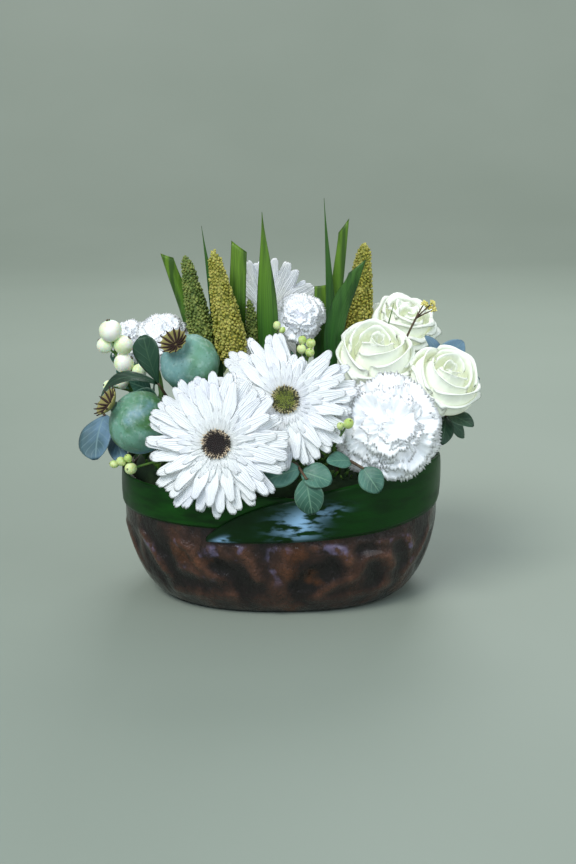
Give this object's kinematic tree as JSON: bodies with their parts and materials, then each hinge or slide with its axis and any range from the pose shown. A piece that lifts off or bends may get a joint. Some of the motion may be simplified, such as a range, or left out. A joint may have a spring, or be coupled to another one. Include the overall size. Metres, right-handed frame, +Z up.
{
  "type": "floral table centerpiece",
  "caption": "Oval carved bowl wrapped in long leaves and filled with white and cream blooms, poppy pods, grain spikes, stiff leaf blades and eucalyptus.",
  "frame": {"origin": "middle of the bowl's flat base", "axes": "+Z up; the front, where the large daisy-like blooms are, faces -Y; +X to the viewer's right"},
  "size_m": [0.2703, 0.2042, 0.2745],
  "materials": {
    "carved_wood": "carved, dark brown and glossy",
    "foam": "wet floral foam, dark green",
    "wrap_leaf": "long leaf, dark green and glossy",
    "white_petal": "white petals, soft and matt",
    "cream_petal": "cream petals with yellow-green depths",
    "dark_eye": "dark brown disc florets",
    "green_eye": "olive green disc florets",
    "pod": "blue-green skin with a bloom on it",
    "pod_crown": "dry tan rays",
    "yellow_grain": "yellow-green grain",
    "green_grain": "green grain",
    "blade": "stiff mid-green leaf",
    "eucalyptus": "blue-green leaf, slightly waxy",
    "snowberry": "white berries, satin",
    "bud": "lime green buds",
    "tuft": "pale yellow tuft on a thin twig"
  },
  "bodies": {
    "root": {"bowl": "carved_wood", "wrap_leaf_right": "wrap_leaf", "wrap_leaf_left": "wrap_leaf", "wrap_leaf_back": "wrap_leaf", "gerbera_left": "white_petal", "gerbera_left_eye": "dark_eye", "gerbera_right": "white_petal", "gerbera_right_eye": "green_eye", "gerbera_back": "white_petal", "gerbera_back_eye": "dark_eye", "carnation_right": "white_petal", "carnation_centre": "white_petal", "carnation_left": "white_petal", "carnation_far_left": "white_petal", "carnation_back": "white_petal", "rose_centre": "cream_petal", "rose_right": "cream_petal", "rose_open": "cream_petal", "rose_back": "cream_petal", "pod_upper": "pod", "crown_upper": "pod_crown", "pod_lower": "pod", "crown_lower": "pod_crown", "millet_green_left": "green_grain", "millet_yellow_left": "yellow_grain", "millet_green_small": "green_grain", "millet_yellow_right": "yellow_grain", "blade_cut_left": "blade", "blade_thin_left": "blade", "blade_cut_middle": "blade", "blade_tall_middle": "blade", "blade_tall_right": "blade", "blade_cut_right": "blade", "blade_broad_right": "blade", "blade_short_right": "blade", "eucalyptus_left_tall": "eucalyptus", "eucalyptus_left_low": "eucalyptus", "eucalyptus_front_left": "eucalyptus", "eucalyptus_front_right": "eucalyptus", "eucalyptus_right_tall": "eucalyptus", "eucalyptus_right_low": "eucalyptus", "eucalyptus_back_left": "eucalyptus", "eucalyptus_back_middle": "eucalyptus", "eucalyptus_back_right": "eucalyptus", "snowberries": "snowberry", "buds_left": "bud", "buds_centre": "bud", "buds_small": "bud", "buds_front": "bud", "tuft_sprig": "tuft", "foam": "foam"}
  },
  "joints": []
}
